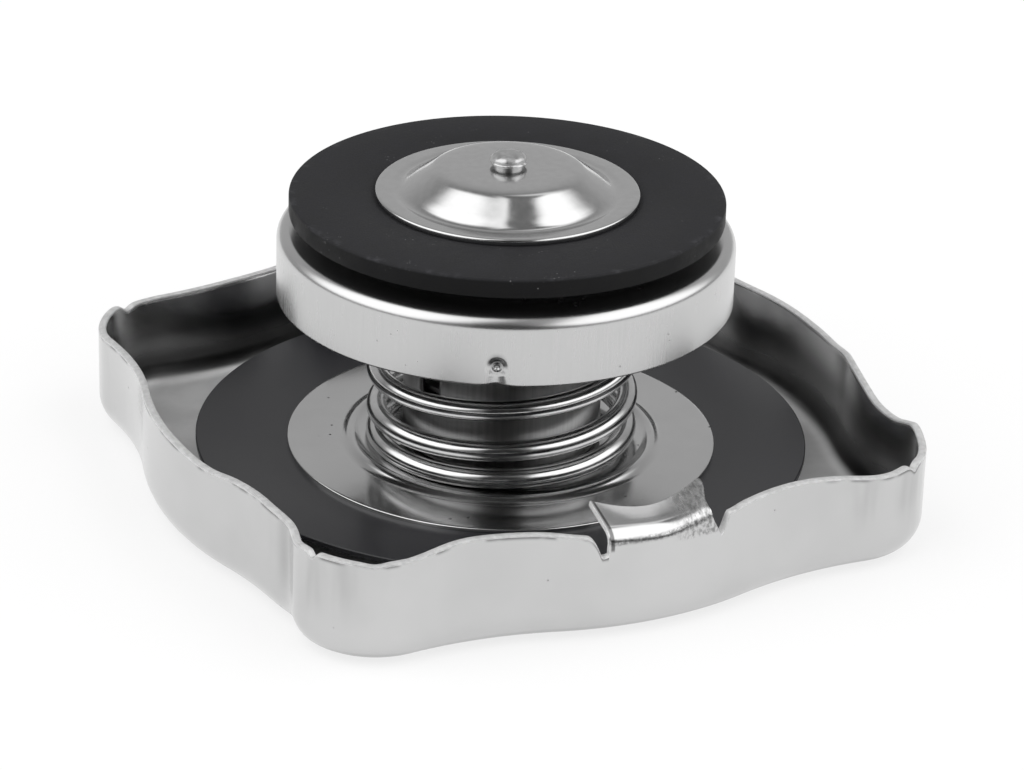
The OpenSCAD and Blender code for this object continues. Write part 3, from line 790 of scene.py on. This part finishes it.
for w in window_turns:
    upper = [barrel_angles.index((w + half_window * s) % math.tau) * rows + top_row for s in TONGUE_SIDES]
    for k in range(1, TONGUE_STEPS + 1):
        r = barrel_r + (tongue_tip_r + barrel_t - barrel_r) * (k / TONGUE_STEPS) ** 1.2
        z = window_high + (tongue_tip_z - window_high) * k / TONGUE_STEPS
        lower = []
        for s in TONGUE_SIDES:
            p = rotated(Vector((r, window_w * tongue_share * s)), w)
            lower.append(len(barrel_points))
            barrel_points.append((p.x * MM, p.y * MM, z * MM))
        barrel_faces.extend((upper[n], lower[n], lower[n + 1], upper[n + 1]) for n in range(2))
        upper = lower

barrel_steel, shader, wire = new_finish("barrel_steel", metallic=1.0)
x, y, z = split(wire, own_place(wire))
round_place = joined(wire, wire.math("ARCTAN2", y, x) * 0.0097, z * 0.04, 0.0)
drawn = grain(wire, round_place, 2600, 3, 0.6)
feed(shader, "Base Color", grey(wire, drawn.step(0.25, 0.75, 0.38, 0.47)))
feed(shader, "Roughness", drawn.step(0.3, 0.7, 0.29, 0.35))
feed(shader, "Normal", raised(wire, drawn, 0.000006, 0.3))
barrel = new_piece("barrel", barrel_points, barrel_faces, barrel_steel, "insert", ["guide_barrel"])
wall = barrel.modifiers.new("sheet", "SOLIDIFY")
wall.thickness = barrel_t * MM
wall.offset = -1


# Main spring: bright round steel wire, wound right-handed, with closed and ground ends.
# It stands on the plate inside the bead. The real spring shortens as the pressure valve goes down, but this
# one is wound at one length.
OPEN_TURNS, CLOSE_PITCH, DEAD_TURNS, WIRE_SIDES = 1.5, 1.05, 0.55, 24


def spring_tree():
    """Wind a wire whose pitch opens from each closed end to the even middle."""
    tree = bpy.data.node_groups.new("coil", "GeometryNodeTree")
    for name in ("Mean Radius", "Wire Radius", "Foot", "Head", "Turns", "Dead", "Start"):
        tree.interface.new_socket(name, in_out="INPUT", socket_type="NodeSocketFloat")
    tree.interface.new_socket("Stations", in_out="INPUT", socket_type="NodeSocketInt")
    tree.interface.new_socket("Finish", in_out="INPUT", socket_type="NodeSocketMaterial")
    tree.interface.new_socket("Geometry", in_out="OUTPUT", socket_type="NodeSocketGeometry")
    given = tree.nodes.new("NodeGroupInput")
    size = {s.name: Wire(tree, s) for s in given.outputs}
    wire = Wire(tree)
    whole = size["Turns"] + size["Dead"] * 2.0
    turn = wire.add("GeometryNodeInputIndex") / (size["Stations"] - 1.0) * whole - size["Dead"]

    def opened(t):
        part = t.math("MINIMUM", t.math("MAXIMUM", t, 0.0), OPEN_TURNS)
        return part * part / (2 * OPEN_TURNS) + t.math("MAXIMUM", t - OPEN_TURNS, 0.0)

    close = size["Wire Radius"] * (2 * CLOSE_PITCH)
    rise = size["Head"] - size["Foot"] - size["Wire Radius"] * 2.0
    gain = (rise - close * size["Turns"]) / (size["Turns"] - OPEN_TURNS)
    lift = size["Foot"] + size["Wire Radius"] + close * turn + gain * (
        opened(turn) - opened(turn - (size["Turns"] - OPEN_TURNS)))
    angle = size["Start"] + turn * math.tau
    spot = joined(wire, size["Mean Radius"] * wire.math("COSINE", angle),
                  size["Mean Radius"] * wire.math("SINE", angle), lift)
    line = wire.add("GeometryNodeMeshLine", None, {"Count": size["Stations"]})
    line = wire.add("GeometryNodeSetPosition", None, {"Geometry": line, "Position": spot})
    ring = wire.add("GeometryNodeCurvePrimitiveCircle", None, {
        "Resolution": WIRE_SIDES, "Radius": size["Wire Radius"]})
    path = wire.add("GeometryNodeMeshToCurve", None, {"Mesh": line})
    tube = wire.add("GeometryNodeCurveToMesh", None, {
        "Curve": path, "Profile Curve": ring, "Fill Caps": True})
    x, y, z = split(wire, wire.add("GeometryNodeInputPosition"))
    ground = wire.math("MINIMUM", wire.math("MAXIMUM", z, size["Foot"]), size["Head"])
    tube = wire.add("GeometryNodeSetPosition", None, {
        "Geometry": tube, "Position": joined(wire, x, y, ground)})
    tube = wire.add("GeometryNodeSetShadeSmooth", None, {"Geometry": tube})
    tube = wire.add("GeometryNodeRealizeInstances", None, {"Geometry": tube})
    tube = wire.add("GeometryNodeSetMaterial", None, {"Geometry": tube, "Material": size["Finish"]})
    done = tree.nodes.new("NodeGroupOutput")
    tree.links.new(tube.socket, done.inputs[0])
    return tree


coil_tree = spring_tree()


def wound(name, sizes, body, node):
    """Wind a spring from the coil tree and keep the result as a plain mesh."""
    piece = bpy.data.objects.new(name, bpy.data.meshes.new(name))
    scene.collection.objects.link(piece)
    winding = piece.modifiers.new("coil", "NODES")
    winding.node_group = coil_tree
    for item in coil_tree.interface.items_tree:
        if item.in_out == "INPUT":
            winding[item.identifier] = sizes[item.name]
    view = bpy.context.evaluated_depsgraph_get()
    mesh = bpy.data.meshes.new_from_object(piece.evaluated_get(view))
    piece.modifiers.remove(winding)
    piece.data = mesh
    mesh.name = name
    mesh.set_sharp_from_angle(angle=math.radians(50))
    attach(piece, body)
    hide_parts(node)
    return piece


low, high = box_mm("main_spring")
wire_r, coil_r, coil_turns, coil_start = 1.0, 12.3, 5.0, 239
spring_steel, shader, wire = new_finish("spring_steel", metallic=1.0)
draw = grain(wire, own_place(wire), 400, 4, 0.6)
feed(shader, "Base Color", grey(wire, draw.step(0.3, 0.7, 0.56, 0.64)))
feed(shader, "Roughness", draw.step(0.3, 0.8, 0.12, 0.22))
feed(shader, "Normal", raised(wire, draw, 0.00003, 0.4))
spring = wound("spring", {
    "Mean Radius": coil_r * MM, "Wire Radius": wire_r * MM, "Foot": low.z * MM, "Head": high.z * MM,
    "Turns": coil_turns, "Dead": DEAD_TURNS, "Start": math.radians(coil_start), "Stations": 600,
    "Finish": spring_steel}, "insert", "main_spring")
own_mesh(spring)


# Valve cup: a drawn steel cup with a skirt, a rounded shoulder and a raised platform for the rubber.
# Three punched dimples in the skirt stake the spring's seat inside it.
low, high = box_mm("valve_cup")
cup_r, cup_t, shoulder_r, platform_r, hub_hole = 22.15, 0.6, 1.2, 17.0, 7.35
shoulder_z = high.z - 1.65
dimple_z, dimple_r, dimple_depth = low.z + 1.9, 1.15, 0.34
ring_r, ring_h, edge_v, edge_lift = 0.33, 0.17, 0.22, 0.2
dimple_turns = [math.radians(242.5 + 120 * k) for k in range(3)]


def punched(a, r, z):
    """Push the skirt in at the dimples: a hollow with a small ring in it, and a V from it to the edge."""
    for turn in dimple_turns:
        aside = turn_between(a, turn) * cup_r
        if abs(aside) < 2.5 and r > cup_r - cup_t - 0.2 and z < shoulder_z - 1.5:
            d = math.hypot(aside, z - dimple_z)
            below = max((dimple_z - z) / (dimple_z - low.z), 0.0)
            r -= dimple_depth * (1 - eased(d, 0.1, dimple_r)) - ring_h * math.exp(-((d - ring_r) / 0.13) ** 2)
            r -= edge_v * eased(below, 0.1, 0.6) * (1 - eased(abs(aside), 0.0, 0.6 + 0.5 * below))
            z += edge_lift * math.exp(-(aside / 1.2) ** 2) * (1 - eased(z, low.z, dimple_z - 0.3))
    wave = 0.05 * noise.noise(Vector((math.cos(a) * 2.2, math.sin(a) * 2.2, 5.0)))
    return r, z + wave * (1 - eased(z, low.z, low.z + 2))


# Fine steps round each dimple and wide ones between them.
dense = [math.radians(0.2) * k for k in range(-32, 33)]
cup_angles = [a for a in round_steps(160)
              if all(abs(turn_between(a, t)) > dense[-1] + 0.01 for t in dimple_turns)]
cup_angles += [(t + d) % math.tau for t in dimple_turns for d in dense]
cup_angles.sort()
skirt = [low.z + 0.12 + 0.075 * k for k in range(40)]
skirt += [skirt[-1] + (shoulder_z - shoulder_r - skirt[-1]) * k / 5 for k in range(1, 6)]
shoulder_c = (cup_r - shoulder_r, shoulder_z - shoulder_r)
cup_profile = [(cup_r - cup_t + 0.1, low.z), (cup_r - 0.1, low.z), (cup_r - 0.03, low.z + 0.04)]
cup_profile += [(cup_r, z) for z in skirt]
cup_profile += arc(*shoulder_c, shoulder_r, 0, 90, 10)[1:]
cup_profile += [(platform_r + 1.0, shoulder_z), (platform_r + 0.6, shoulder_z + 0.08)]
cup_profile += [(platform_r + 0.38, shoulder_z + 0.4), (platform_r + 0.1, high.z - 0.5)]
cup_profile += [(platform_r - 0.15, high.z - 0.12), (platform_r - 0.5, high.z)]
cup_profile += [(hub_hole, high.z), (hub_hole, high.z - cup_t), (platform_r - 0.8, high.z - cup_t)]
cup_profile += [(platform_r - 0.3, shoulder_z - cup_t), (cup_r - shoulder_r, shoulder_z - cup_t)]
cup_profile += list(reversed(arc(*shoulder_c, shoulder_r - cup_t, 0, 90, 8)))[1:]
cup_profile += [(cup_r - cup_t, z) for z in reversed(skirt[:-1])]

cup_steel, shader, wire = new_finish("cup_steel", metallic=1.0)
place = own_place(wire)
x, y, z = split(wire, place)
turn = wire.math("ARCTAN2", y, x)
round_place = joined(wire, turn * 0.022, z * 0.06, 0.0)
drawn = (grain(wire, round_place, 2200, 4, 0.6) - 0.5) * grain(wire, place, 70, 1).step(0.35, 0.65, 0.35, 1.0)
pit = spots(wire, place, 900.0).step(0.06, 0.15, 1.0, 0.0) * grain(wire, place, 150, 1).step(0.6, 0.7)
on_skirt = z.step((shoulder_z - 1.9) * MM, (shoulder_z - 0.7) * MM, 1.0, 0.15)
# Painted shade: darker in the upper part of each dimple's hollow.
beside_dimple = wire.math("SINE", (turn - dimple_turns[0]) * 1.5) * (cup_r * MM / 1.5)
dimple_shade = off_axis(wire, beside_dimple, z - (dimple_z + 0.5) * MM).step(0.0002, 0.0011, 0.6, 0.0)
feed(shader, "Base Color", grey(wire, (0.58 + drawn * on_skirt * 0.14) * (1 - pit * 0.3) * (1 - dimple_shade)))
feed(shader, "Roughness", 0.26 + drawn * on_skirt * 0.2 + pit * 0.2)
feed(shader, "Normal", raised(wire, drawn * on_skirt - pit, 0.00003, 0.5))
turned_piece("cup", cup_profile, cup_steel, "pressure_valve", ["valve_cup"],
             angles=cup_angles, shape=punched, crease=45)


# Spring seat and hub: the pan that the spring pushes on and the eyelet that ties the cup to the barrel.
# Both are plain drawn steel, seen only a little between the cup and the barrel.
for name in ("spring_seat", "valve_hub"):
    refinish(name, barrel_steel)


# Vacuum spring: a weak coil of thin steel wire round the stem, inside the hub.
# Its upper end stays under the valve's platform. The real coil shortens from below as the disc lifts, but
# this one is wound at one length.
low, high = box_mm("vacuum_spring")
weak_wire_r, weak_coil_r, weak_turns = 0.25, 2.5, 5.0
weak_spring = wound("weak_spring", {
    "Mean Radius": weak_coil_r * MM, "Wire Radius": weak_wire_r * MM, "Foot": low.z * MM, "Head": high.z * MM,
    "Turns": weak_turns, "Dead": DEAD_TURNS, "Start": 0.0, "Stations": 240,
    "Finish": spring_steel}, "pressure_valve", "vacuum_spring")
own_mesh(weak_spring)


# Pressure gasket: a ring punched from black rubber sheet, dusty on its face and chalky at its edge, with its
# top face painted paler than its sides.
# It lies on the cup's platform and has a shallow seat for the vacuum disc.
low, high = box_mm("pressure_gasket")
gasket_r, bore_r, seat_r, seat_step, gasket_round = high.x, 9.1, 13.0, 0.1, 0.22
gasket_profile = [(bore_r, low.z), (gasket_r - 0.15, low.z), (gasket_r - 0.03, low.z + 0.05)]
gasket_profile += [(gasket_r, low.z + 0.18), (gasket_r, low.z + 0.9)]
gasket_profile += arc(gasket_r - gasket_round, high.z - gasket_round, gasket_round, 0, 90, 5)
gasket_profile += [(seat_r + 0.2, high.z), (seat_r, high.z - seat_step), (bore_r, high.z - seat_step)]
rubber, shader, wire = new_finish("gasket_rubber", metallic=0.0, specular_ior_level=0.22)
place = own_place(wire)
x, y, z = split(wire, place)
mottle = grain(wire, place, 300, 4, 0.6)
pebble = grain(wire, place, 5200, 2)
dusty = spots(wire, place, 2600.0).step(0.05, 0.22, 1.0, 0.0) * grain(wire, place, 420, 3).step(0.60, 0.70)
# Painted light: the top face is paler than the sides; its outer edge also takes the chalky dust.
painted_top_light = z.step((high.z - 0.3) * MM, (high.z - 0.05) * MM)
at_edge = off_axis(wire, x, y).step((gasket_r - 1.2) * MM, (gasket_r - 0.1) * MM)
chalky = painted_top_light * at_edge * grain(wire, place, 520, 4, 0.7).step(0.50, 0.70)
tone = mottle.step(0.3, 0.7, 0.003, 0.006) + painted_top_light * mottle.step(0.3, 0.7, 0.010, 0.015) + chalky * 0.025
feed(shader, "Base Color", wire.add("ShaderNodeCombineColor", None, {
    0: tone + dusty * 0.2, 1: tone + dusty * 0.2, 2: tone * 1.12 + dusty * 0.2}))
feed(shader, "Roughness", mottle.step(0.3, 0.7, 0.55, 0.72))
feed(shader, "Normal", raised(wire, pebble, 0.00004, 0.5))
turned_piece("gasket", gasket_profile, rubber, "pressure_valve", ["pressure_gasket"])


# Vacuum disc: pressed from thin nickel-bright sheet, with a flat-topped dome and a groove round its foot.
# It rests on the rubber and lifts off it to let air back in.
low, high = box_mm("vacuum_disc")
vacuum_r, vacuum_t, foot_r, top_r, stem_hole = high.x, 0.6, 9.9, 7.2, 1.35
rim_z = low.z + vacuum_t
dome_top = high.z - 0.2
slope_r, slope_z, crown_r, crown_z = foot_r - 0.25, rim_z + 0.40, top_r + 0.25, dome_top - 0.44
slope = (crown_z - slope_z) / (slope_r - crown_r)
dome = [(vacuum_r, rim_z - 0.18), (vacuum_r - 0.05, rim_z - 0.07), (vacuum_r - 0.14, rim_z - 0.02)]
dome += [(vacuum_r - 0.26, rim_z), (vacuum_r - 0.5, rim_z), (foot_r + 1.5, rim_z)]
dome += [(foot_r + 1.3, rim_z - 0.01), (foot_r + 1.0, rim_z - 0.08), (foot_r + 0.7, rim_z - 0.14)]
dome += [(foot_r + 0.4, rim_z - 0.06), (foot_r + 0.05, rim_z + 0.15), (slope_r, slope_z)]
dome += [(slope_r - k, slope_z + k * slope) for k in (0.6, 1.2, 1.8)]
dome += [(crown_r, crown_z), (top_r - 0.1, dome_top - 0.22), (top_r - 0.6, dome_top - 0.07)]
dome += [(top_r - 1.3, dome_top), (top_r - 2.5, dome_top + 0.02), (stem_hole, dome_top + 0.02)]
dome += [(stem_hole, dome_top - vacuum_t), (top_r - 0.9, dome_top - vacuum_t)]
dome += [(foot_r - 0.6, low.z + 0.02), (foot_r, low.z), (vacuum_r - 0.05, low.z), (vacuum_r, low.z + 0.06)]
nickel, shader, wire = new_finish("disc_nickel", metallic=1.0)
place = own_place(wire)
x, y, z = split(wire, place)
rings = grain(wire, joined(wire, off_axis(wire, x, y), z, 0.0), 1800, 2)
satin = grain(wire, place, 1300, 3)
feed(shader, "Base Color", grey(wire, satin.step(0.3, 0.7, 0.56, 0.59)))
feed(shader, "Roughness", satin.step(0.3, 0.7, 0.10, 0.14) + rings * 0.03)
feed(shader, "Normal", raised(wire, rings * 0.8 + satin * 0.2, 0.000008, 0.3))
turned_piece("disc", dome, nickel, "vacuum_valve", ["vacuum_disc"], crease=50)


# Vacuum stem: a short steel pin through the disc, with a foot for the washer.
# Its upper end is riveted over the dome and left rough.
low, high = box_mm("vacuum_stem")
stem_r, stem_neck_r, stem_head_r, stem_foot_r = 1.3, 1.45, 1.8, 1.8
foot_top = low.z + 0.7
tip = high.z - dome_top


def hammered(a, r, z):
    """Beat the riveted end out of round."""
    if z > dome_top + 0.5:
        rough = noise.noise(Vector((r * math.cos(a) * 1.6, r * math.sin(a) * 1.6, z)))
        return r * (1 + 0.05 * rough), z + 0.10 * rough - 0.05
    return r, z


stem_profile = [(core, low.z), (stem_foot_r - 0.2, low.z), (stem_foot_r, low.z + 0.2)]
stem_profile += [(stem_foot_r, foot_top), (stem_r, foot_top), (stem_r, dome_top), (stem_neck_r, dome_top)]
stem_profile += [(r, dome_top + tip * z) for r, z in (
    (stem_neck_r, 0.24), (stem_head_r - 0.06, 0.28), (stem_head_r, 0.36), (stem_head_r - 0.04, 0.46),
    (stem_head_r - 0.1, 0.50), (stem_head_r - 0.1, 0.62), (stem_head_r - 0.18, 0.80),
    (stem_head_r - 0.4, 0.92), (stem_head_r - 0.8, 0.98), (stem_head_r * 0.3, 0.97), (core, 0.96))]
beaten, shader, wire = new_finish("beaten_steel", metallic=1.0)
dent = grain(wire, own_place(wire), 1500, 3, 0.6)
feed(shader, "Base Color", grey(wire, dent.step(0.3, 0.7, 0.46, 0.60)))
feed(shader, "Roughness", dent.step(0.3, 0.7, 0.30, 0.42))
feed(shader, "Normal", raised(wire, dent, 0.00006, 0.5))
turned_piece("stem", stem_profile, beaten, "vacuum_valve", ["vacuum_stem"],
             angles=round_steps(64), shape=hammered, crease=50)


# Stem washer: a small punched steel washer at the stem's foot, out of sight.
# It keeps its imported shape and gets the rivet's dull finish.
refinish("stem_washer", rivet_steel)
